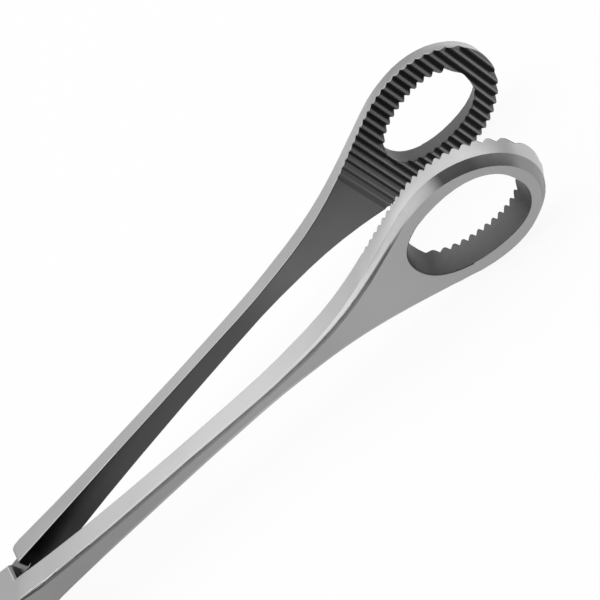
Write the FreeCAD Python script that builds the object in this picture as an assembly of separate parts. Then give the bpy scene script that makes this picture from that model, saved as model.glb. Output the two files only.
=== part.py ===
"""Placenta forceps: two crossing halves with oval, fenestrated, serrated jaws,
joined by a box lock and its riveted pin, with a ratchet and two finger rings.

Each half is first drawn closed in its own half frame, in millimetres: X runs from
the pivot to the jaw tip, +Y is the side of its jaw, -Y the side of its handle and Z
is the pivot axis. The box half is that drawing turned about X, so the two face each
other, and both are then swung apart about the pivot to the angle of the rest pose.
"""
import FreeCAD, Part
import math
import os
from FreeCAD import Vector

# Lengths along the instrument
TIP_REACH = 160.7            # pivot to the tip of the jaws
HANDLE_REACH = 157.3         # pivot to the far end of the finger rings
OPENING = 10.6               # degrees between the two halves in the rest pose

# Box lock
LOCK_THICKNESS = 7.5         # over both cheeks, along the pivot
LOCK_HALF_LENGTH = 14.5      # pivot to the roots of the shanks
ROOT_INNER = 0.7             # midplane to the inner face of a shank at its root
ROOT_OUTER = 7.4             # midplane to the outer face of a shank at its root
CHEEK_SETBACK = 1.0          # from the shanks' roots to the slanted cheek edge
CHEEK_SLANT = 3.6            # how far that edge slants back, to its far corner
CHEEK_CORNER_Y = 5.3         # midplane to the far corner
CHEEK_BEVEL = 0.65
EDGE_BREAK = 0.4             # broken long edges of lock and shank roots
HUB_RADIUS = 6.0             # round middle of the tongue, about the pin
TONGUE_THICKNESS = 2.5
TONGUE_FACE_GAP = 0.05       # tongue to cheek, each side
TONGUE_EDGE_GAP = 0.1        # tongue edge to midplane, and wall to midplane
SLOT_END_GAP = 0.9           # hub to the end walls of the slot
SHOULDER_REACH = 0.5         # inner end of the slanted shoulder, from the shank's root
SHOULDER_SLANT = 2.4         # from there to its outer end
SHOULDER_ROUND = 1.2         # round outer corner of the shoulder

# Riveted pin
PIN_RADIUS = 2.4
PIN_RUNNING_GAP = 0.05       # pin to the tongue's bore
RIVET_FLARE = 0.5            # how much wider the peened ends are
RIVET_DEPTH = 0.7            # and how deep they sit in the cheeks

# Jaw shank
WAIST_HALF_WIDTH = 2.05      # narrowest half width of the inner face
WAIST_OUTER = 6.28           # midplane to the outer face at the waist
SHANK_BOW = 1.6              # midplane to the inner face where it bows most
WAIST_INNER = 1.0
SIDE_DRAFT = 0.42            # how much the sides lean in towards the outer face
SHANK_BEVEL_WIDTH = 0.35
SHANK_BEVEL_HEIGHT = 0.45

# Fenestrated jaw
RING_HALF_WIDTH = 11.25
RING_NOSE = 14.7             # widest place to the tip
RING_THICKNESS = 5.62
RING_BEVEL_WIDTH = 1.06
RING_BEVEL_HEIGHT = 2.03
NECK_LENGTH = 50.0           # from the waist to the widest place
WINDOW_TOE = 3.5             # tip to the window's toe, on the outer face
BOX_WINDOW_LENGTH = 24.0     # from there back to its heel
TONGUE_WINDOW_LENGTH = 22.3
WINDOW_HALF_WIDTH = 7.55
WINDOW_TOE_DRAFT = 1.7       # how much smaller the window is at the crests
WINDOW_HEEL_DRAFT = 0.5
WINDOW_SIDE_DRAFT = 1.4
WINDOW_EGG = 0.08            # how much fuller the window is towards the toe
WINDOW_FULLNESS = 1.12       # 1 is an ellipse, more is fuller at the corners

# Serrations
SERRATION_REACH = 34.4       # tip to the edge of the first groove
SERRATION_PITCH = 1.62
SERRATION_DEPTH = 0.82
FIRST_DEPTH = 0.36           # of the first groove; the next ones get deeper
CREST_WIDTH = 0.58           # over the crest's bevels
CREST_BEVEL_WIDTH = 0.19
CREST_BEVEL_HEIGHT = 0.12

# Handle shank, width across the opening and thickness along the pivot
GRIP_WIDTH = 5.4
GRIP_THICKNESS = 5.2
GRIP_OFFSET = 10.2           # midplane to the middle of the shank before the ring
GRIP_ROUND = 1.9

# Finger ring
RING_LENGTH = 32.2           # outside, along the handle
RING_BREADTH = 27.6          # outside, across it
WIRE_WIDTH = 4.6
WIRE_THICKNESS = 5.2
RING_SIDE_GAP = 2.9          # midplane to the ring
RING_TILT = 7.0              # degrees
RING_ROUNDNESS = 0.88        # radius of the ends, as a share of the short half axis
RING_JOIN = 240.0            # where the shank runs into the ring, degrees round it
WIRE_ROUND = 1.7
JOIN_TAPER = 0.8             # section of the shank's end, as a share of the wire's

# Ratchet
RATCHET_PLACE = 111.0        # pivot to the middle of the arms
RATCHET_WIDTH = 7.5
RATCHET_THICKNESS = 2.6
RATCHET_OVERREACH = 5.4      # past the midplane
RATCHET_NOSE_ROUND = 1.4
RATCHET_TIP_GAP = 0.05       # tooth tips to the plane between the arms
TOOTH_COUNT = 4
TOOTH_PITCH = 1.7
TOOTH_HEIGHT = 0.95
TOOTH_LEAN = 0.2             # undercut of the steep side of a tooth

# Stations of the jaw shank: place from root to waist, then the shares that are left
# of the root's extra width, of its extra outer offset, and the share of the draft
SHANK_STATIONS = (
    (0.00, 1.00, 1.00, 0.00),
    (0.12, 0.77, 0.97, 0.55),
    (0.30, 0.52, 0.80, 1.00),
    (0.50, 0.31, 0.50, 1.00),
    (0.70, 0.12, 0.16, 1.00),
    (0.88, 0.01, 0.03, 1.00),
    (1.00, 0.00, 0.00, 1.00),
)
# Stations of the neck: place from the waist to the widest place, share of the flare
NECK_STATIONS = (
    (0.14, 0.036), (0.28, 0.093), (0.42, 0.205), (0.56, 0.385),
    (0.70, 0.617), (0.844, 0.864), (1.00, 1.000),
)
# Stations of the handle shank: place from root to ring join, share of the way to the
# grip's offset, share of the way to the grip's section
HANDLE_STATIONS = (
    (0.00, 0.00, 0.00),
    (0.22, 0.42, 0.55),
    (0.50, 0.84, 0.90),
    (0.78, 1.00, 1.00),
)
LAST_BEND = (0.90, 0.28)     # then a bend: place, share of the way to the join's offset
WINDOW_STEPS = 16            # points around the window
GROOVES_TO_FULL_DEPTH = 6
BOW_PLACE = 0.37             # share of the shank's length where the bow is deepest
OVERCUT = 1.5                # how far cutters and blanks run past the finished faces

ORIGIN = Vector(0, 0, 0)
X_AXIS = Vector(1, 0, 0)
Z_AXIS = Vector(0, 0, 1)


def mix(a, b, share):
    return a + (b - a) * share


def turned(shape, axis, degrees):
    copy = shape.copy()
    copy.rotate(ORIGIN, axis, degrees)
    return copy


def spline(points, first_tangent=None, last_tangent=None):
    curve = Part.BSplineCurve()
    if first_tangent:
        curve.interpolate(points, InitialTangent=first_tangent, FinalTangent=last_tangent)
    else:
        curve.interpolate(points)
    return curve.toShape()


def polygon_prism(points, half_height):
    """Upright prism on the corners given as (x, y), centred on the plane Z = 0."""
    corners = [Vector(x, y, -half_height) for x, y in points]
    face = Part.Face(Part.makePolygon(corners + corners[:1]))
    return face.extrude(Vector(0, 0, 2 * half_height))


def one_solid(shape):
    solid = shape.removeSplitter()
    if len(solid.Solids) != 1:
        raise RuntimeError("expected one solid, got %d" % len(solid.Solids))
    return solid.Solids[0]


# Jaw and its shank

def jaw_stations():
    """Section of the jaw from the root to the widest place: half widths, offsets."""
    waist_x = TIP_REACH - RING_NOSE - NECK_LENGTH
    rows = []
    for place, width_share, outer_share, draft_share in SHANK_STATIONS:
        rows.append({
            "x": mix(LOCK_HALF_LENGTH, waist_x, place),
            "half_width": mix(WAIST_HALF_WIDTH, LOCK_THICKNESS / 2, width_share),
            "outer": mix(WAIST_OUTER, ROOT_OUTER, outer_share),
            "draft": SIDE_DRAFT * draft_share,
            "bevel_width": mix(EDGE_BREAK, SHANK_BEVEL_WIDTH, draft_share),
            "bevel_height": mix(EDGE_BREAK, SHANK_BEVEL_HEIGHT, draft_share),
        })
    for place, flare in NECK_STATIONS:
        rows.append({
            "x": waist_x + NECK_LENGTH * place,
            "half_width": mix(WAIST_HALF_WIDTH, RING_HALF_WIDTH, flare),
            "outer": mix(WAIST_OUTER, RING_THICKNESS, flare),
            "draft": SIDE_DRAFT,
            "bevel_width": mix(SHANK_BEVEL_WIDTH, RING_BEVEL_WIDTH, flare),
            "bevel_height": mix(SHANK_BEVEL_HEIGHT, RING_BEVEL_HEIGHT, flare),
        })
    return rows


def inner_points():
    """Smooth inner face of the shank, from the root to the serrations."""
    waist_x = TIP_REACH - RING_NOSE - NECK_LENGTH
    end_x = TIP_REACH - SERRATION_REACH
    return [
        Vector(LOCK_HALF_LENGTH, ROOT_INNER, 0),
        Vector(mix(LOCK_HALF_LENGTH, waist_x, BOW_PLACE), SHANK_BOW, 0),
        Vector(waist_x, WAIST_INNER, 0),
        Vector(end_x, CREST_BEVEL_HEIGHT, 0),
    ]


def level_point(row, level, side):
    """Point of one level of the blank's wall at a station; side is 1 or -1."""
    lean = row["draft"] / (row["outer"] - row["bevel_height"])
    slope = row["bevel_width"] / row["bevel_height"]
    knee = row["half_width"] - row["draft"]
    rim = knee - row["bevel_width"] - slope * OVERCUT / 5
    height, half_width = {
        "low": (-OVERCUT, row["half_width"] + lean * OVERCUT),
        "knee": (row["outer"] - row["bevel_height"], knee),
        "rim": (row["outer"] + OVERCUT / 5, rim),
        "cap": (ROOT_OUTER + OVERCUT, rim),
    }[level]
    return Vector(row["x"], height, side * half_width)


def blank_level(rows, level):
    """Outline at one level: a side, the half ellipse of the nose, the other side."""
    side = [level_point(row, level, 1) for row in rows]
    back = [level_point(row, level, -1) for row in reversed(rows)]
    widest = side[-1]
    tip = Vector(widest.x + RING_NOSE - (RING_HALF_WIDTH - widest.z), widest.y, 0)
    centre = Vector(widest.x, widest.y, 0)
    nose = Part.Arc(Part.Ellipse(tip, widest, centre), 0, math.pi / 2).toShape()
    mirrored = Part.Arc(Part.Ellipse(tip, back[0], centre), 0, math.pi / 2).toShape()
    return Part.Wire([
        spline(side, side[1] - side[0], X_AXIS), nose, mirrored,
        spline(back, X_AXIS * -1, back[-1] - back[-2]), Part.makeLine(back[-1], side[0]),
    ])


def jaw_blank():
    """Solid with the jaw's plan form: leaning sides and a bevelled outer rim."""
    rows = jaw_stations()
    wires = [blank_level(rows, level) for level in ("low", "knee", "rim", "cap")]
    return Part.makeLoft(wires, True, True)


def groove_depth(number):
    return mix(FIRST_DEPTH, SERRATION_DEPTH, min(1, number / GROOVES_TO_FULL_DEPTH))


def ridge_points(first_x, last_x):
    """Transverse ridges with crests at Y = 0, from the edge of the first groove on."""
    half_pitch = SERRATION_PITCH / 2
    foot = CREST_WIDTH / 2
    top = foot - CREST_BEVEL_WIDTH
    valley_x = first_x + half_pitch - foot
    points = [Vector(first_x, CREST_BEVEL_HEIGHT, 0), Vector(valley_x, groove_depth(0), 0)]
    for number in range(math.ceil((last_x - valley_x) / SERRATION_PITCH)):
        crest_x = valley_x + (number + 0.5) * SERRATION_PITCH
        points += [
            Vector(crest_x - foot, CREST_BEVEL_HEIGHT, 0),
            Vector(crest_x - top, 0, 0),
            Vector(crest_x + top, 0, 0),
            Vector(crest_x + foot, CREST_BEVEL_HEIGHT, 0),
            Vector(crest_x + half_pitch, groove_depth(number + 1), 0),
        ]
    return points


def side_profile(ridge_shift):
    """Side view of jaw and shank: bowed inner face, ridges, tapering outer face."""
    inner = inner_points()
    corners = ridge_points(inner[-1].x + ridge_shift, TIP_REACH + OVERCUT)
    if ridge_shift:
        corners.insert(0, inner[-1])
    corners.append(Vector(corners[-1].x, RING_THICKNESS, 0))
    outer = [Vector(row["x"], row["outer"], 0) for row in jaw_stations()]
    outer.append(corners[-1])
    edges = [spline(inner), spline(outer), Part.makeLine(outer[0], inner[0])]
    edges += Part.makePolygon(corners).Edges
    half = RING_HALF_WIDTH + OVERCUT
    face = Part.Face(Part.Wire(Part.__sortEdges__(edges)))
    face.translate(Vector(0, 0, -half))
    return face.extrude(Vector(0, 0, 2 * half))


def full(share):
    """Sine or cosine made fuller towards its ends."""
    return math.copysign(abs(share) ** (1 / WINDOW_FULLNESS), share)


def window_wire(window_length, height):
    """Full, egg-shaped outline of the window at a height above the crests."""
    draft = 1 - height / RING_THICKNESS
    toe_x = TIP_REACH - WINDOW_TOE - WINDOW_TOE_DRAFT * draft
    heel_x = TIP_REACH - WINDOW_TOE - window_length + WINDOW_HEEL_DRAFT * draft
    half_width = WINDOW_HALF_WIDTH - WINDOW_SIDE_DRAFT * draft
    points = []
    for step in range(WINDOW_STEPS):
        turn = 2 * math.pi * step / WINDOW_STEPS
        along = full(math.cos(turn))
        width = half_width * (1 + WINDOW_EGG * along)
        points.append(Vector(mix(heel_x, toe_x, (1 + along) / 2), height,
                             width * full(math.sin(turn))))
    curve = Part.BSplineCurve()
    curve.interpolate(points, True)
    return Part.Wire([curve.toShape()])


def jaw(ridge_shift, window_length):
    blank = jaw_blank().common(side_profile(ridge_shift))
    levels = [window_wire(window_length, -OVERCUT),
              window_wire(window_length, RING_THICKNESS + OVERCUT)]
    return blank.cut(Part.makeLoft(levels, True, True))


# Handle shank, finger ring and ratchet arm, drawn with the handle on +X and +Y

def section(centre, across, width, thickness, radius):
    """Rounded rectangle, each corner as two short flats, in the plane of across and Z."""
    u, v = width / 2, thickness / 2
    bow = radius * (1 - math.sqrt(0.5))
    corner = [(u, v - radius), (u - bow, v - bow), (u - radius, v)]
    outline = corner + [(-y, z) for y, z in reversed(corner)]
    outline += [(-y, -z) for y, z in outline]
    points = [centre + across * y + Z_AXIS * z for y, z in outline]
    return Part.makePolygon(points + points[:1])


def ring_centre():
    return Vector(HANDLE_REACH - RING_LENGTH / 2, RING_SIDE_GAP + RING_BREADTH / 2, 0)


def ring_half_axes():
    """Half axes of the line through the middle of the ring's wire."""
    return (RING_LENGTH - WIRE_WIDTH) / 2, (RING_BREADTH - WIRE_WIDTH) / 2


def ring_bend(centre, radius, first, last):
    """Stretch of the ring's wire about one centre, between two turns in radians."""
    across = Vector(math.cos(first), math.sin(first), 0)
    wire = section(centre + across * radius, across, WIRE_WIDTH, WIRE_THICKNESS, WIRE_ROUND)
    return Part.Face(wire).revolve(centre, Z_AXIS, math.degrees(last - first))


def finger_ring():
    """Oval ring: two tight ends and two long sides, each an arc tangent to the next."""
    long_half, short_half = ring_half_axes()
    end_radius = RING_ROUNDNESS * short_half
    end_x = long_half - end_radius
    side_radius = (end_radius**2 - short_half**2 - end_x**2) / (2 * (end_radius - short_half))
    side_y = side_radius - short_half
    turn = math.atan2(side_y, end_x)
    bends = [
        ring_bend(Vector(end_x, 0, 0), end_radius, -turn, turn),
        ring_bend(Vector(0, -side_y, 0), side_radius, turn, math.pi - turn),
        ring_bend(Vector(-end_x, 0, 0), end_radius, math.pi - turn, math.pi + turn),
        ring_bend(Vector(0, side_y, 0), side_radius, math.pi + turn, 2 * math.pi - turn),
    ]
    ring = turned(bends[0].fuse(bends[1:]), Z_AXIS, RING_TILT)
    ring.translate(ring_centre())
    return ring


def handle_path():
    """Middle line of the handle shank: points, and the direction at each."""
    long_half, short_half = ring_half_axes()
    turn = math.radians(RING_JOIN)
    spin = FreeCAD.Rotation(Z_AXIS, RING_TILT)
    join = Vector(long_half * math.cos(turn), short_half * math.sin(turn), 0)
    tangent = Vector(-long_half * math.sin(turn), short_half * math.cos(turn), 0)
    join = ring_centre() + spin.multVec(join)
    tangent = spin.multVec(tangent).normalize()
    root_y = (ROOT_INNER + ROOT_OUTER) / 2
    points = []
    for place, offset_share, _ in HANDLE_STATIONS:
        points.append(Vector(mix(LOCK_HALF_LENGTH, join.x, place),
                             mix(root_y, GRIP_OFFSET, offset_share), 0))
    place, offset_share = LAST_BEND
    points.append(Vector(mix(LOCK_HALF_LENGTH, join.x, place),
                         mix(GRIP_OFFSET, join.y, offset_share), 0))
    points.append(join)
    directions = [X_AXIS]
    for before, after in zip(points, points[2:]):
        directions.append((after - before).normalize())
    directions.append(tangent)
    return points, directions


def handle_shank():
    points, directions = handle_path()
    sizes = []
    for _, _, share in HANDLE_STATIONS:
        sizes.append((mix(ROOT_OUTER - ROOT_INNER, GRIP_WIDTH, share),
                      mix(LOCK_THICKNESS, GRIP_THICKNESS, share),
                      mix(EDGE_BREAK, GRIP_ROUND, share)))
    sizes.append(sizes[-1])
    sizes.append((JOIN_TAPER * WIRE_WIDTH, JOIN_TAPER * WIRE_THICKNESS,
                  JOIN_TAPER * WIRE_ROUND))
    wires = []
    for point, direction, size in zip(points, directions, sizes):
        wires.append(section(point, Vector(-direction.y, direction.x, 0), *size))
    return Part.makeLoft(wires, True, False)


def ratchet_arm():
    """Arm across the midplane, with saw teeth facing the plane between the arms."""
    left = RATCHET_PLACE - RATCHET_WIDTH / 2
    root_z = -RATCHET_TIP_GAP - TOOTH_HEIGHT
    back_z = -RATCHET_TIP_GAP - RATCHET_THICKNESS
    teeth_y = TOOTH_PITCH * TOOTH_COUNT - RATCHET_OVERREACH
    corners = [(GRIP_OFFSET, back_z), (GRIP_OFFSET, root_z), (teeth_y + TOOTH_HEIGHT, root_z)]
    for number in range(TOOTH_COUNT):
        crest_y = teeth_y - number * TOOTH_PITCH
        corners.append((crest_y, -RATCHET_TIP_GAP))
        corners.append((crest_y - TOOTH_LEAN, root_z))
    corners.append((-RATCHET_OVERREACH, root_z))
    corners.append((-RATCHET_OVERREACH, back_z))
    points = [Vector(left, y, z) for y, z in corners]
    arm = Part.Face(Part.makePolygon(points + points[:1])).extrude(X_AXIS * RATCHET_WIDTH)
    noses = [edge for edge in arm.Edges
             if edge.BoundBox.YMax < 0.01 - RATCHET_OVERREACH and edge.BoundBox.ZLength > 0.01]
    return arm.makeFillet(RATCHET_NOSE_ROUND, noses)


def handle():
    """Handle shank, ring and ratchet arm, turned to the handle's side of the half."""
    solid = handle_shank().fuse([finger_ring(), ratchet_arm()])
    return turned(solid, Z_AXIS, 180)


# Box lock

def both_ways(points):
    """An outline and its half turn about the pivot, as one closed outline."""
    return list(points) + [(-x, -y) for x, y in points]


def bevelled(prism, size, chosen):
    """Bevel the edges of a prism's two faces whose middle passes the test."""
    edges = []
    for edge in prism.Edges:
        middle = edge.CenterOfMass
        if edge.BoundBox.ZLength < 0.01 and chosen(middle):
            edges.append(edge)
    return prism.makeChamfer(size, edges)


def lock_box():
    """The cheeks and end walls of the box half, with the tongue's slot between."""
    half_thickness = LOCK_THICKNESS / 2
    heel_x = LOCK_HALF_LENGTH - CHEEK_SETBACK
    box = polygon_prism(both_ways([
        (LOCK_HALF_LENGTH, ROOT_OUTER), (LOCK_HALF_LENGTH, ROOT_INNER),
        (heel_x, ROOT_INNER), (heel_x - CHEEK_SLANT, -CHEEK_CORNER_Y),
    ]), half_thickness)
    edge_x = heel_x - CHEEK_SLANT / 2
    box = bevelled(box, CHEEK_BEVEL, lambda middle: abs(abs(middle.x) - edge_x) < 0.01)
    box = bevelled(box, EDGE_BREAK, lambda middle: abs(middle.z) > half_thickness - 0.01
                   and abs(middle.y) > CHEEK_CORNER_Y)
    far_x = LOCK_HALF_LENGTH + OVERCUT
    far_y = ROOT_OUTER + OVERCUT
    end_x = HUB_RADIUS + SLOT_END_GAP
    slot = polygon_prism(both_ways([
        (end_x, far_y), (end_x, TONGUE_EDGE_GAP), (far_x, TONGUE_EDGE_GAP), (far_x, -far_y),
    ]), TONGUE_THICKNESS / 2 + TONGUE_FACE_GAP)
    return box.cut(slot)


def shoulder():
    """Full-thickness root of the tongue half's shank, with its slanted, rounded end."""
    half_thickness = LOCK_THICKNESS / 2
    heel_x = LOCK_HALF_LENGTH - SHOULDER_REACH
    nose_x = heel_x - SHOULDER_SLANT
    block = polygon_prism([
        (LOCK_HALF_LENGTH, ROOT_OUTER), (LOCK_HALF_LENGTH, ROOT_INNER),
        (heel_x, ROOT_INNER), (nose_x, ROOT_OUTER),
    ], half_thickness)
    corner = [edge for edge in block.Edges if edge.BoundBox.XMax < nose_x + 0.01]
    block = block.makeFillet(SHOULDER_ROUND, corner)
    return bevelled(block, EDGE_BREAK, lambda middle: middle.x < LOCK_HALF_LENGTH - 0.01
                    and middle.y > ROOT_INNER + 0.01)


def tongue():
    """Thin middle of the tongue half: a round hub and an arm into each shank."""
    half_thickness = TONGUE_THICKNESS / 2
    far_x = LOCK_HALF_LENGTH + OVERCUT
    arm = polygon_prism([
        (0, HUB_RADIUS), (far_x, ROOT_OUTER - EDGE_BREAK), (far_x, ROOT_INNER + EDGE_BREAK),
        (LOCK_HALF_LENGTH, TONGUE_EDGE_GAP), (0, TONGUE_EDGE_GAP),
    ], half_thickness)
    hub = Part.makeCylinder(HUB_RADIUS, TONGUE_THICKNESS, Vector(0, 0, -half_thickness))
    return hub.fuse([arm, turned(arm, Z_AXIS, 180)])


def lock_pin():
    """Pin with both ends peened into the cheeks and ground flush with them."""
    end_z = LOCK_THICKNESS / 2
    neck_z = end_z - RIVET_DEPTH
    head = PIN_RADIUS + RIVET_FLARE
    outline = [(0, -end_z), (head, -end_z), (PIN_RADIUS, -neck_z),
               (PIN_RADIUS, neck_z), (head, end_z), (0, end_z)]
    points = [Vector(x, 0, z) for x, z in outline]
    return Part.Face(Part.makePolygon(points + points[:1])).revolve(ORIGIN, Z_AXIS, 360)


# The two halves, closed, each in its half frame

def box_half():
    solid = jaw(SERRATION_PITCH / 2, BOX_WINDOW_LENGTH).fuse([handle(), lock_box()])
    return one_solid(solid.cut(lock_pin()))


def tongue_half():
    shoulders = [shoulder(), turned(shoulder(), Z_AXIS, 180)]
    solid = jaw(0, TONGUE_WINDOW_LENGTH).fuse([handle(), tongue()] + shoulders)
    bore = Part.makeCylinder(PIN_RADIUS + PIN_RUNNING_GAP, LOCK_THICKNESS,
                             Vector(0, 0, -LOCK_THICKNESS / 2))
    return one_solid(solid.cut(bore))


def main():
    nodes = {
        "box_half": turned(turned(box_half(), X_AXIS, 180), Z_AXIS, -OPENING / 2),
        "tongue_half": turned(tongue_half(), Z_AXIS, OPENING / 2),
        "lock_pin": lock_pin(),
    }
    os.makedirs("parts", exist_ok=True)
    for name, shape in nodes.items():
        shape.exportStep("parts/%s.step" % name)
        print("%s: volume %.0f mm3, %d faces, valid %s"
              % (name, shape.Volume, len(shape.Faces), shape.isValid()))


main()
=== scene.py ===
"""Placenta forceps: both forged halves with eased edges and with light and shade painted
into their steel, the riveted pin, and a pale stage with the photograph's camera."""
import math

import bmesh
import bpy
from mathutils import Matrix, Vector
from mathutils.geometry import intersect_point_line


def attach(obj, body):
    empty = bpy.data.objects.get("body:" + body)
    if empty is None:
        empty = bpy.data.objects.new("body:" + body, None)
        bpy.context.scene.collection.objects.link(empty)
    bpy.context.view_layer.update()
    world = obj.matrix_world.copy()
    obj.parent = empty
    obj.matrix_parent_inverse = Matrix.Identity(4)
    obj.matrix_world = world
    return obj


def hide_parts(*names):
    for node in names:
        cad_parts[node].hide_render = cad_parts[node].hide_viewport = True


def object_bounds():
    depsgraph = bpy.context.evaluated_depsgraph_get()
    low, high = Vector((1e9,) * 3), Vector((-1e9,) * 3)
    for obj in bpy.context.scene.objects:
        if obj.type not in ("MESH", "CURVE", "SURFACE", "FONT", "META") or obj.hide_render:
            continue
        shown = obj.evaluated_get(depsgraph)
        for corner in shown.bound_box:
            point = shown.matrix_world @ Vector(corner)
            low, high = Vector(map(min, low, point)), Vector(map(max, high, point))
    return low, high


bl_info = {
    "name": "Placenta Forceps",
    "version": (1, 0, 0),
    "blender": (4, 5, 0),
    "location": "View3D > Sidebar > Forceps",
    # The finishes named here are light and shade painted into the steel of the halves.
    "description": "Eases and finishes the forged halves on a pale stage",
    "category": "Object",
}

MM = 0.001
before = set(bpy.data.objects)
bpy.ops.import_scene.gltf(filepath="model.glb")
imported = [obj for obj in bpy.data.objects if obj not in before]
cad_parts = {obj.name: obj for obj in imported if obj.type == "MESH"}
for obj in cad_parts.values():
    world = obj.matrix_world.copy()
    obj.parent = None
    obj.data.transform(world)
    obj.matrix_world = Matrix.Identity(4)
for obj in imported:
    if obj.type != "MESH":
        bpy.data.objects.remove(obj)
cad_bounds = [list(corner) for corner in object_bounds()]
FLOOR_Z = cad_bounds[0][2]


def color_setting(name, description, default):
    return bpy.props.FloatVectorProperty(
        name=name, description=description, default=default, subtype="COLOR")


def share_setting(name, description, default):
    return bpy.props.FloatProperty(
        name=name, description=description, default=default, subtype="FACTOR", min=0, max=1)


class CameraSettings(bpy.types.PropertyGroup):
    lens: bpy.props.FloatProperty(
        name="Lens", description="Focal length for a sensor 36 mm wide",
        default=80.82, unit="CAMERA")
    location: bpy.props.FloatVectorProperty(
        name="Location", description="Place of the camera",
        default=(0.21208, -0.19186, 0.12683), subtype="TRANSLATION", unit="LENGTH")
    rotation: bpy.props.FloatVectorProperty(
        name="Rotation", description="Turn of the camera",
        default=tuple(math.radians(a) for a in (40.4156, 49.1461, -12.6589)),
        subtype="EULER", unit="ROTATION")


class StageSettings(bpy.types.PropertyGroup):
    floor_half: bpy.props.FloatProperty(
        name="Floor half width", description="Half the width of the floor",
        default=12.0, unit="LENGTH")
    floor_color: color_setting("Floor colour", "Colour of the floor", (0.93, 0.93, 0.93))
    glow: share_setting("Glow", "Share of plain white the camera sees in the floor", 0.92)
    sky: bpy.props.FloatProperty(
        name="Sky", description="Strength of the soft light straight above", default=1.45)
    horizon: share_setting("Horizon", "Share of it that is left at the horizon", 0.42)
    front: share_setting("Front", "Share of it that is left in front of the object", 0.35)
    key_power: bpy.props.FloatProperty(
        name="Key power", description="Power of the lamp above", default=0.9, unit="POWER")


class HalfSettings(bpy.types.PropertyGroup):
    opening: bpy.props.FloatProperty(
        name="Opening", description="Angle between the two halves in the rest pose",
        default=math.radians(10.6), unit="ROTATION")
    easing: bpy.props.FloatProperty(
        name="Easing", description="Width of the rounding on the long edges",
        default=0.26 * MM, unit="LENGTH")
    sharp_angle: bpy.props.FloatProperty(
        name="Sharp angle", description="Edges that turn more than this are rounded",
        default=math.radians(35), unit="ROTATION")
    crease_angle: bpy.props.FloatProperty(
        name="Crease angle", description="Edges that turn less than this look smooth",
        default=math.radians(34), unit="ROTATION")
    side_strip: bpy.props.FloatProperty(
        name="Side strip", description="How far the broken edge spreads over the side",
        default=0.4 * MM, unit="LENGTH")
    outer_strip: bpy.props.FloatProperty(
        name="Outer strip", description="How far it spreads over the outer face",
        default=0.55 * MM, unit="LENGTH")
    corner_place: bpy.props.FloatProperty(
        name="Corner place", description="Old outer edge to the corner between the strips",
        default=0.28 * MM, unit="LENGTH")
    strips_end: bpy.props.FloatProperty(
        name="Strips' end", description="Pivot to where both strips have run out",
        default=140 * MM, unit="LENGTH")
    ridges_start: bpy.props.FloatProperty(
        name="Ridges start", description="Pivot to the first groove of the serrations",
        default=126.2 * MM, unit="LENGTH")
    window_place: bpy.props.FloatProperty(
        name="Window place", description="Pivot to the middle of the window",
        default=145.5 * MM, unit="LENGTH")
    root_place: bpy.props.FloatProperty(
        name="Root place", description="Pivot to the roots of the shanks",
        default=14.5 * MM, unit="LENGTH")


class SteelSettings(bpy.types.PropertyGroup):
    # Apart from the pin, each colour is one satin steel with the light or shade that falls on
    # its faces painted in: the bright edges and the crests are painted highlights; the outer
    # faces, rim, edges, inner faces, grooves, window wall, tongue and lock are painted shade,
    # near black in the lock's recess; the bevel is a painted dark reflection.
    satin: color_setting("Satin", "Sides of the shanks and the handles", (0.56, 0.56, 0.56))
    outer: color_setting("Outer faces", "Outer faces of jaws and shanks", (0.40, 0.40, 0.40))
    # Painted highlight along the broken edges of the sides.
    bright: color_setting("Bright edges", "Rubbed edges of the sides", (0.58, 0.58, 0.58))
    edge: color_setting("Edges", "Broken inner edges and the lock's slants", (0.26, 0.26, 0.26))
    rim: color_setting("Rim", "Rounded outer corner of the shanks", (0.45, 0.45, 0.45))
    # Painted dark reflection in the jaw's bevel, deepest beside the window.
    bevel: color_setting("Bevel", "Ground bevel round the jaw's outer rim", (0.50, 0.50, 0.50))
    inner: color_setting("Inner faces", "Inner faces of the shanks", (0.17, 0.17, 0.17))
    groove: color_setting("Grooves", "Flanks of the serrations", (0.11, 0.11, 0.11))
    crest: color_setting("Crests", "Crests of the serrations", (0.21, 0.21, 0.21))
    wall: color_setting("Window wall", "Wall of the jaw's window", (0.125, 0.125, 0.125))
    tongue: color_setting("Tongue", "Flats of the tongue in the box lock", (0.16, 0.16, 0.16))
    # Painted shade, near black, inside the box lock's recess.
    lock: color_setting("Lock", "Upright walls inside the box lock", (0.04, 0.04, 0.04))
    pin: color_setting("Pin", "Ground ends of the riveted pin", (0.60, 0.60, 0.60))
    roughness: share_setting("Roughness", "Roughness of the satin finish", 0.33)


def settings(name):
    return getattr(bpy.context.scene, name)


def node(tree, kind, **sockets):
    """New shader node of a kind, with the given values in its sockets."""
    made = tree.nodes.new("ShaderNode" + kind)
    for name, value in sockets.items():
        made.inputs[name.replace("_", " ")].default_value = value
    return made


COLOR_A, COLOR_B, COLOR_RESULT = 6, 7, 2  # sockets of a Mix node that mixes colours
GRAIN_SCALE = (300, 2200, 2200)
CLOUD_SCALE = 70.0
TINTS = (0.93, 1.07)  # darkest and lightest cloud, as shares of the colour
ROUGHNESS_SPREAD = 0.07


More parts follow.
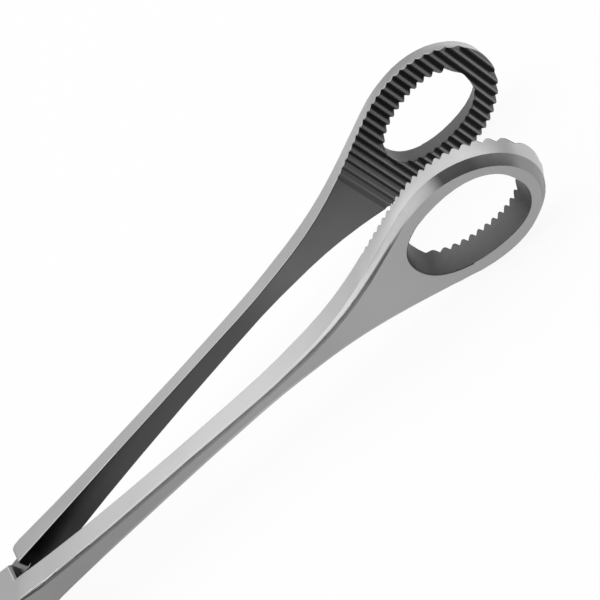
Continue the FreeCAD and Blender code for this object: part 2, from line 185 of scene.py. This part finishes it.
def steel(name, color, roughness, painted_light=()):
    """Satin steel with a fine lengthwise grain. A ramp of painted light and shade gives the
    share of the colour that is left at each of some places along X, in millimetres."""
    material = bpy.data.materials.new(name)
    material.use_nodes = True
    tree = material.node_tree
    links = tree.links
    shader = tree.nodes["Principled BSDF"]
    shader.inputs["Metallic"].default_value = 1.0
    place = node(tree, "TexCoord")

    stretch = node(tree, "Mapping", Scale=GRAIN_SCALE)
    grain = node(tree, "TexNoise", Scale=1.0, Detail=3.0)
    cloud = node(tree, "TexNoise", Scale=CLOUD_SCALE, Detail=2.0)
    links.new(place.outputs["Object"], stretch.inputs["Vector"])
    links.new(stretch.outputs["Vector"], grain.inputs["Vector"])
    links.new(place.outputs["Object"], cloud.inputs["Vector"])

    tint = node(tree, "Mix")
    tint.data_type = "RGBA"
    for socket, share in zip((COLOR_A, COLOR_B), TINTS):
        tint.inputs[socket].default_value = (*[share * c for c in color], 1)
    links.new(cloud.outputs["Fac"], tint.inputs["Factor"])
    base = tint.outputs[COLOR_RESULT]
    # Painted light and shade: the colour darkened or lightened along X.
    if painted_light:
        split = node(tree, "SeparateXYZ")
        links.new(place.outputs["Object"], split.inputs["Vector"])
        reach = node(tree, "MapRange", From_Max=FADE_LENGTH * MM)
        links.new(split.outputs["X"], reach.inputs["Value"])
        ramp = node(tree, "ValToRGB")
        stops = ramp.color_ramp.elements
        for _ in painted_light[len(stops):]:
            stops.new(0.5)
        for stop, (millimetres, share) in zip(stops, painted_light):
            stop.position = millimetres / FADE_LENGTH
            stop.color = (share, share, share, 1)
        links.new(reach.outputs["Result"], ramp.inputs["Fac"])
        shade = node(tree, "Mix", Factor=1.0)
        shade.data_type = "RGBA"
        shade.blend_type = "MULTIPLY"
        links.new(base, shade.inputs[COLOR_A])
        links.new(ramp.outputs["Color"], shade.inputs[COLOR_B])
        base = shade.outputs[COLOR_RESULT]
    links.new(base, shader.inputs["Base Color"])

    rough = node(tree, "MapRange", To_Min=roughness - ROUGHNESS_SPREAD,
                 To_Max=roughness + ROUGHNESS_SPREAD)
    links.new(grain.outputs["Fac"], rough.inputs["Value"])
    links.new(rough.outputs["Result"], shader.inputs["Roughness"])
    bump = node(tree, "Bump", Strength=0.12, Distance=0.0001)
    links.new(grain.outputs["Fac"], bump.inputs["Height"])
    links.new(bump.outputs["Normal"], shader.inputs["Normal"])
    return material


# Lit and shaded copies of one steel, one for each kind of face: light and shade painted into
# the colour by which way a face turns and where it lies.
PAINTED_SHADINGS = ("satin", "outer", "bright", "edge", "rim", "bevel", "inner", "groove", "crest",
            "wall", "tongue", "lock")
ROUGHER = {"wall": 0.17}
FADE_LENGTH = 160.0
# Painted light and shade along the length: each shading's places along X, in millimetres, and
# the share of its colour left there.
PAINTED_LIGHT_AND_SHADE = {
    "satin": ((0, 0.71), (15, 0.64), (45, 0.77), (75, 0.86), (110, 0.87), (128, 0.98),
              (137, 0.98), (141, 0.82), (146, 0.68), (151, 0.7), (157, 0.92)),
    "bright": ((15, 0.95), (45, 1.0), (60, 0.9), (100, 0.76), (118, 0.94), (132, 0.86),
               (140, 0.67)),
    "rim": ((15, 0.4), (30, 0.46), (45, 0.7), (75, 0.8), (90, 0.95), (105, 0.82),
            (132, 0.78), (140, 0.86)),
    "groove": ((126, 0.65), (136, 1.0)),
    "crest": ((126, 0.6), (136, 1.0)),
    "outer": ((0, 0.62), (45, 0.64), (75, 0.75), (118, 0.88)),
    # Painted shade on the inner faces, darkest near the lock where the halves close in.
    "inner": ((15, 0.34), (21, 0.2), (30, 0.2), (45, 0.38), (60, 0.45), (90, 0.52), (105, 0.8),
              (126, 0.62)),
    # Painted dark reflection in the bevel beside the window.
    "bevel": ((100, 1.0), (130, 0.92), (138, 0.82), (142, 0.72), (145.5, 0.55), (148, 0.1),
              (153, 0.1), (156, 0.24), (158, 0.55)),
}


def half_painted_shadings():
    given = settings("forceps_steel")
    made = []
    for name in PAINTED_SHADINGS:
        label = name + " steel"
        if label not in bpy.data.materials:
            steel(label, getattr(given, name), given.roughness + ROUGHER.get(name, 0),
                  PAINTED_LIGHT_AND_SHADE.get(name, ()))
        made.append(bpy.data.materials[label])
    return made


# A face's painted light or shade is told by the share of its normal along each axis of its half
# ...
TILTED_OUT, FACING_OUT, FACING_IN, CREST_IN, TONGUE_FLAT = 0.2, 0.93, 0.8, 0.95, 0.9  # Y
OFF_LEVEL, ACROSS, SLANTED, FACING_UP = 0.15, 0.5, 0.4, 0.8  # Z
LOCK_END = 0.35  # X
# ... and by where it lies.
TONGUE_TOP, RIDGES_DEPTH = 1.4 * MM, 0.9 * MM
WALL_START, BEVEL_START = 132 * MM, 96 * MM


def painted_shading_of(face, to_half, given):
    """Name of the painted light or shade a face gets, from where it is and faces in its half
    frame.
    """
    normal = to_half @ face.normal
    middle = to_half @ face.calc_center_median()
    broken = TILTED_OUT < abs(normal.y) < FACING_OUT and abs(normal.z) > OFF_LEVEL
    # Broken edges that face up get the painted highlight, the others painted shade.
    edge = "bright" if abs(normal.z) > FACING_UP else "edge"
    if middle.x < given.root_place:
        in_lock = middle.x > -given.root_place
        slanted = abs(normal.z) > SLANTED
        if in_lock and abs(normal.x) > LOCK_END:
            return "edge" if slanted else "lock"
        if in_lock and abs(middle.z) < TONGUE_TOP and abs(normal.y) < TONGUE_FLAT:
            return "tongue" if slanted else "lock"
        return edge if in_lock and broken else "satin"
    if (middle.x > given.ridges_start and middle.y < RIDGES_DEPTH
            and abs(normal.z) < ACROSS):
        return "crest" if normal.y < -CREST_IN else "groove"
    if normal.y < -FACING_IN:
        return "inner"
    if normal.y > FACING_OUT:
        return "outer"
    around_x = middle.x - given.window_place
    if middle.x > WALL_START and around_x * normal.x + middle.z * normal.z < 0:
        return "wall"
    if normal.y > TILTED_OUT and middle.x > BEVEL_START:
        return "bevel"
    return edge if broken else "satin"


SIDE, OUTER = 1, 2  # marks of a broken edge's corners, by the face they also belong to
STRIPS = (PAINTED_SHADINGS.index("bright"), PAINTED_SHADINGS.index("rim"))
BROKEN_OUT, BROKEN_UP = (0.4, 0.75), 0.6  # a broken edge's normal along Y and along Z
CORNER_OUT = 0.95  # the outer face's normal along Y at a corner
SIDE_RISE, OUTER_RISE, STRIPS_FALL = 90 * MM, 8 * MM, 10 * MM


def spread_broken_edges(shape, to_half, given):
    """Split the shanks' broken outer edges lengthwise, spread both strips over the faces
    beside them, and paint a highlight on the side's strip and shade on the outer one."""
    def facing(face):
        return to_half @ face.normal

    def share_at(x, rise):
        fall = (given.strips_end - x) / STRIPS_FALL
        return max(0, min(1, (x - given.root_place) / rise, fall))

    mark = shape.verts.layers.int.new("broken edge")
    broken = {face for face in shape.faces
              if BROKEN_OUT[0] < facing(face).y < BROKEN_OUT[1]
              and abs(facing(face).z) > BROKEN_UP
              and given.root_place < (to_half @ face.calc_center_median()).x
              < given.strips_end}
    for vert in {vert for face in broken for vert in face.verts}:
        on_outer = any(facing(face).y > CORNER_OUT for face in vert.link_faces)
        vert[mark] = OUTER if on_outer else SIDE
    across = [edge for edge in shape.edges
              if {edge.verts[0][mark], edge.verts[1][mark]} == {SIDE, OUTER}
              and not broken.isdisjoint(edge.link_faces)]
    split = bmesh.ops.subdivide_edges(shape, edges=across, cuts=1)
    middle = {vert for vert in split["geom_inner"] if isinstance(vert, bmesh.types.BMVert)}
    side, outer = [{vert for vert in shape.verts if vert[mark] == number} - middle
                   for number in (SIDE, OUTER)]
    for vert in middle:
        ends = [edge.other_vert(vert) for edge in vert.link_edges]
        rim = next(end for end in ends if end in outer)
        knee = next(end for end in ends if end in side)
        beside = [edge.other_vert(rim) for edge in rim.link_edges
                  if edge.other_vert(rim) in outer]
        width = min((knee.co - intersect_point_line(knee.co, rim.co, end.co)[0]).length
                    for end in beside)
        vert.co = rim.co.lerp(knee.co, given.corner_place / width)
    back = to_half.inverted()
    for vert in side | outer:
        place = to_half @ vert.co
        if vert in side:
            place.y -= given.side_strip * share_at(place.x, SIDE_RISE)
        else:
            spread = given.outer_strip * share_at(place.x, OUTER_RISE)
            place.z -= math.copysign(spread, place.z)
        vert.co = back @ place
    shape.normal_update()
    for face in shape.faces:
        if middle.intersection(face.verts):
            name = "rim" if outer.intersection(face.verts) else "bright"
            face.material_index = PAINTED_SHADINGS.index(name)
    shape.verts.layers.int.remove(mark)


CRISP_OUT = 0.985  # the outer face's normal along Y at a crisp edge


def on_crisp_rim(edge, to_half, given):
    """True where the jaw's bevel meets its outer face, which is ground flat and crisp."""
    turns = sorted((to_half @ face.normal).y for face in edge.link_faces)
    middle = to_half @ ((edge.verts[0].co + edge.verts[1].co) / 2)
    in_strips = all(face.material_index in STRIPS for face in edge.link_faces)
    return (middle.x > given.root_place and turns[0] > TILTED_OUT
            and turns[-1] > CRISP_OUT and not in_strips)


MERGE_DISTANCE = 0.002 * MM
FLAT_ANGLE = math.radians(0.05)
ROUNDING_SEGMENTS = 3


def eased_half(name, body, to_half):
    """Merged copy of a forged half: its sharp edges rounded, light and shade painted on its
    faces.
    """
    given = settings("forceps_half")
    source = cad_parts[name]
    shape = bmesh.new()
    shape.from_mesh(source.data)
    bmesh.ops.remove_doubles(shape, verts=shape.verts, dist=MERGE_DISTANCE)
    bmesh.ops.dissolve_limit(shape, angle_limit=FLAT_ANGLE, verts=shape.verts,
                             edges=shape.edges)
    for face in shape.faces:
        face.material_index = 0
    spread_broken_edges(shape, to_half, given)
    sharp = [edge for edge in shape.edges
             if edge.is_convex and edge.calc_face_angle(0) > given.sharp_angle
             and not on_crisp_rim(edge, to_half, given)]
    bmesh.ops.bevel(shape, geom=sharp, offset=given.easing, offset_type="OFFSET",
                    affect="EDGES", segments=ROUNDING_SEGMENTS, profile=0.5, material=-1,
                    clamp_overlap=False)
    shape.normal_update()
    # Each face gets its painted light or shade; the strips keep the painted highlight or
    # painted shade they were given.
    for face in shape.faces:
        if face.material_index in STRIPS:
            finish = PAINTED_SHADINGS[face.material_index]
        else:
            finish = painted_shading_of(face, to_half, given)
            face.material_index = PAINTED_SHADINGS.index(finish)
        face.smooth = finish not in ("groove", "crest")
    for edge in shape.edges:
        sides = {PAINTED_SHADINGS[face.material_index] for face in edge.link_faces}
        edge.smooth = (edge.calc_face_angle(0) < given.crease_angle
                       and sides not in ({"bright", "satin"}, {"rim", "outer"}))
    mesh = bpy.data.meshes.new(name + "_eased")
    shape.to_mesh(mesh)
    shape.free()
    for material in half_painted_shadings():
        mesh.materials.append(material)
    half = bpy.data.objects.new(name + "_eased", mesh)
    bpy.context.scene.collection.objects.link(half)
    weighted = half.modifiers.new("weighted normals", "WEIGHTED_NORMAL")
    weighted.keep_sharp = True
    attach(half, body)
    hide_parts(name)


class FORCEPS_OT_camera(bpy.types.Operator):
    """Add the camera at the photograph's viewing angle"""
    bl_idname = "forceps.camera"
    bl_label = "Camera"

    def execute(self, context):
        given = settings("forceps_camera")
        data = bpy.data.cameras.new("view")
        data.lens = given.lens
        data.clip_start = 0.01
        camera = bpy.data.objects.new("view", data)
        camera.location = given.location
        camera.rotation_euler = given.rotation
        context.scene.collection.objects.link(camera)
        context.scene.camera = camera
        return {"FINISHED"}


class FORCEPS_OT_box_half(bpy.types.Operator):
    """Ease the half with the box lock and paint light and shade on its faces"""
    bl_idname = "forceps.box_half"
    bl_label = "Box half"

    def execute(self, context):
        turn = Matrix.Rotation(settings("forceps_half").opening / 2, 3, "Z")
        flip = Matrix.Diagonal((1, -1, -1))
        eased_half("box_half", "box_side", flip @ turn)
        return {"FINISHED"}


class FORCEPS_OT_tongue_half(bpy.types.Operator):
    """Ease the half with the tongue and paint light and shade on its faces"""
    bl_idname = "forceps.tongue_half"
    bl_label = "Tongue half"

    def execute(self, context):
        turn = Matrix.Rotation(-settings("forceps_half").opening / 2, 3, "Z")
        eased_half("tongue_half", "tongue_side", turn)
        return {"FINISHED"}


class FORCEPS_OT_pin(bpy.types.Operator):
    """Give the riveted pin its ground finish"""
    bl_idname = "forceps.pin"
    bl_label = "Pin"

    def execute(self, context):
        given = settings("forceps_steel")
        material = steel("pin steel", given.pin, given.roughness)
        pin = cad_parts["lock_pin"]
        for slot in pin.material_slots:
            slot.material = material
        return {"FINISHED"}


KEY_PLACE, KEY_AIM, KEY_SIZE = (0.0, 0.35, 0.8), (0.1, 0, 0), 1.2


def add_key_lamp(power):
    """Broad lamp above and behind the forceps."""
    data = bpy.data.lights.new("key", "AREA")
    data.size = KEY_SIZE
    data.energy = power
    lamp = bpy.data.objects.new("key", data)
    lamp.location = KEY_PLACE
    aim = Vector(KEY_AIM) - Vector(KEY_PLACE)
    lamp.rotation_euler = aim.to_track_quat("-Z", "Y").to_euler()
    bpy.context.scene.collection.objects.link(lamp)


def floor_material(given):
    """Matt and pale, and plain white to the camera and in reflections."""
    material = bpy.data.materials.new("floor")
    material.use_nodes = True
    tree = material.node_tree
    links = tree.links
    tree.nodes.clear()
    out = node(tree, "OutputMaterial")
    blend = node(tree, "MixShader")
    matt = node(tree, "BsdfDiffuse", Color=(*given.floor_color, 1))
    glow = node(tree, "Emission")
    path = node(tree, "LightPath")
    seen = path.outputs["Is Camera Ray"]
    for ray in ("Is Glossy Ray", "Is Transmission Ray"):
        either = node(tree, "Math")
        either.operation = "MAXIMUM"
        links.new(seen, either.inputs[0])
        links.new(path.outputs[ray], either.inputs[1])
        seen = either.outputs[0]
    share = node(tree, "Math")
    share.operation = "MULTIPLY"
    share.inputs[1].default_value = given.glow
    links.new(seen, share.inputs[0])
    links.new(share.outputs[0], blend.inputs[0])
    links.new(matt.outputs[0], blend.inputs[1])
    links.new(glow.outputs[0], blend.inputs[2])
    links.new(blend.outputs[0], out.inputs["Surface"])
    return material


SKY_RISE = (0.2, 0.85)  # heights between which the light grows to its strength above
FRONT_RISE = (-0.6, 0.2)  # the same along Y, from in front of the object to beside it


def studio_world(given):
    """Soft light, brightest straight above, dimmer at the horizon and in front."""
    world = bpy.data.worlds.new("studio")
    world.use_nodes = True
    tree = world.node_tree
    links = tree.links
    place = node(tree, "TexCoord")
    split = node(tree, "SeparateXYZ")
    links.new(place.outputs["Generated"], split.inputs["Vector"])
    strength = node(tree, "Math")
    strength.operation = "MULTIPLY"
    ramps = (("Z", *SKY_RISE, given.sky * given.horizon, given.sky),
             ("Y", *FRONT_RISE, given.front, 1.0))
    for number, (axis, *span) in enumerate(ramps):
        ramp = node(tree, "MapRange")
        ramp.interpolation_type = "SMOOTHSTEP"
        for socket, value in zip(("From Min", "From Max", "To Min", "To Max"), span):
            ramp.inputs[socket].default_value = value
        links.new(split.outputs[axis], ramp.inputs["Value"])
        links.new(ramp.outputs["Result"], strength.inputs[number])
    light = tree.nodes["Background"]
    light.inputs["Color"].default_value = (1, 1, 1, 1)
    links.new(strength.outputs[0], light.inputs["Strength"])
    return world


class FORCEPS_OT_stage(bpy.types.Operator):
    """Add the pale floor, the lamp above and the light from all round"""
    bl_idname = "forceps.stage"
    bl_label = "Stage"

    def execute(self, context):
        given = settings("forceps_stage")
        mesh = bpy.data.meshes.new("floor")
        plane = bmesh.new()
        bmesh.ops.create_grid(plane, x_segments=1, y_segments=1, size=given.floor_half)
        bmesh.ops.translate(plane, vec=(0, 0, FLOOR_Z), verts=plane.verts)
        plane.to_mesh(mesh)
        plane.free()
        mesh.materials.append(floor_material(given))
        floor = bpy.data.objects.new("floor", mesh)
        context.scene.collection.objects.link(floor)
        context.scene.world = studio_world(given)
        add_key_lamp(given.key_power)
        context.scene.view_settings.view_transform = "Standard"
        return {"FINISHED"}


PIECES = ("forceps.camera", "forceps.box_half", "forceps.tongue_half", "forceps.pin",
          "forceps.stage")
GROUPS = {"forceps_camera": CameraSettings, "forceps_stage": StageSettings,
          "forceps_half": HalfSettings, "forceps_steel": SteelSettings}


class FORCEPS_PT_panel(bpy.types.Panel):
    """The forceps' pieces, in the order they are made"""
    bl_label = "Placenta Forceps"
    bl_idname = "FORCEPS_PT_panel"
    bl_space_type = "VIEW_3D"
    bl_region_type = "UI"
    bl_category = "Forceps"

    def draw(self, context):
        for piece in PIECES:
            self.layout.operator(piece)
        for name, group in GROUPS.items():
            box = self.layout.box()
            for setting in group.__annotations__:
                box.prop(getattr(context.scene, name), setting)


CLASSES = (*GROUPS.values(), FORCEPS_OT_camera, FORCEPS_OT_box_half,
           FORCEPS_OT_tongue_half, FORCEPS_OT_pin, FORCEPS_OT_stage, FORCEPS_PT_panel)


def register():
    for cls in CLASSES:
        bpy.utils.register_class(cls)
    for name, group in GROUPS.items():
        setattr(bpy.types.Scene, name, bpy.props.PointerProperty(type=group))


def unregister():
    for name in GROUPS:
        delattr(bpy.types.Scene, name)
    for cls in reversed(CLASSES):
        bpy.utils.unregister_class(cls)


def main():
    register()
    bpy.ops.forceps.camera()
    bpy.ops.forceps.box_half()
    bpy.ops.forceps.tongue_half()
    bpy.ops.forceps.pin()
    bpy.ops.forceps.stage()


if __name__ == "__main__":
    main()
